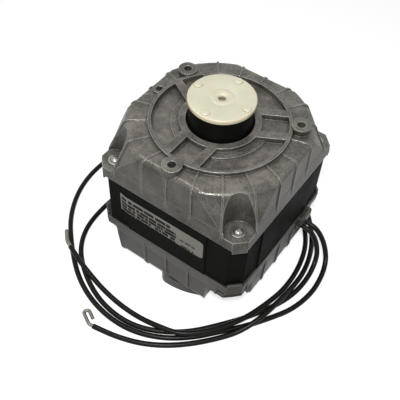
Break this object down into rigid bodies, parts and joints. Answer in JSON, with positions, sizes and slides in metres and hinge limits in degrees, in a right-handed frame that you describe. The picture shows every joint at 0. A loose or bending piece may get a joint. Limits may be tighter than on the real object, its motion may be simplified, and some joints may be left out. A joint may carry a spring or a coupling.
{
  "type": "fan motor",
  "caption": "Square shaded-pole fan motor with ribbed die-cast end shells riveted over a lamination stack, a pegged plastic fan hub and loose leads.",
  "frame": {"origin": "on the shaft axis, in the plane of the rear feet", "axes": "+Z along the shaft, from the rear feet towards the fan hub; the rating label is on the -Y side and the leads leave on the +X side"},
  "size_m": [0.1418, 0.1473, 0.0989],
  "materials": {
    "cast_housing": "as cast, lightly mottled",
    "laminations": "black varnish, satin",
    "copper_ring": "bare copper",
    "bobbin": "moulded",
    "winding": "enamelled copper wire",
    "bearing": "sintered bronze",
    "retainer": "pressed sheet",
    "felt": "oiled felt",
    "rivet": "formed head",
    "label": "satin foil",
    "grommet": "matt",
    "shaft": "ground",
    "rotor_core": "bare laminations",
    "rotor_cage": "die cast",
    "washer": "smooth",
    "hub_cup": "satin",
    "hub_disc": "natural nylon, slightly translucent",
    "lead": "smooth jacket",
    "bare_wire": "tinned strands"
  },
  "bodies": {
    "housing": {"front_shell": "cast_housing", "rear_shell": "cast_housing", "stator_core": "laminations", "shading_rings": "copper_ring", "bobbin_1": "bobbin", "bobbin_2": "bobbin", "bobbin_3": "bobbin", "bobbin_4": "bobbin", "winding_1": "winding", "winding_2": "winding", "winding_3": "winding", "winding_4": "winding", "front_bearing": "bearing", "rear_bearing": "bearing", "front_retainer": "retainer", "rear_retainer": "retainer", "front_felt": "felt", "rear_felt": "felt", "corner_rivets": "rivet", "rating_label": "label", "lead_grommet": "grommet", "lead_a": "lead", "lead_b": "lead", "lead_a_tip": "bare_wire", "lead_b_tip": "bare_wire"},
    "rotor": {"shaft": "shaft", "rotor_core": "rotor_core", "rotor_cage": "rotor_cage", "thrust_washers": "washer", "hub_cup": "hub_cup", "fan_hub": "hub_disc"}
  },
  "joints": [
    {"name": "rotor_spin", "type": "hinge", "parent": "housing", "child": "rotor", "pos_m": [0, 0, 0.046], "axis": [0, 0, 1], "continuous": true}
  ]
}
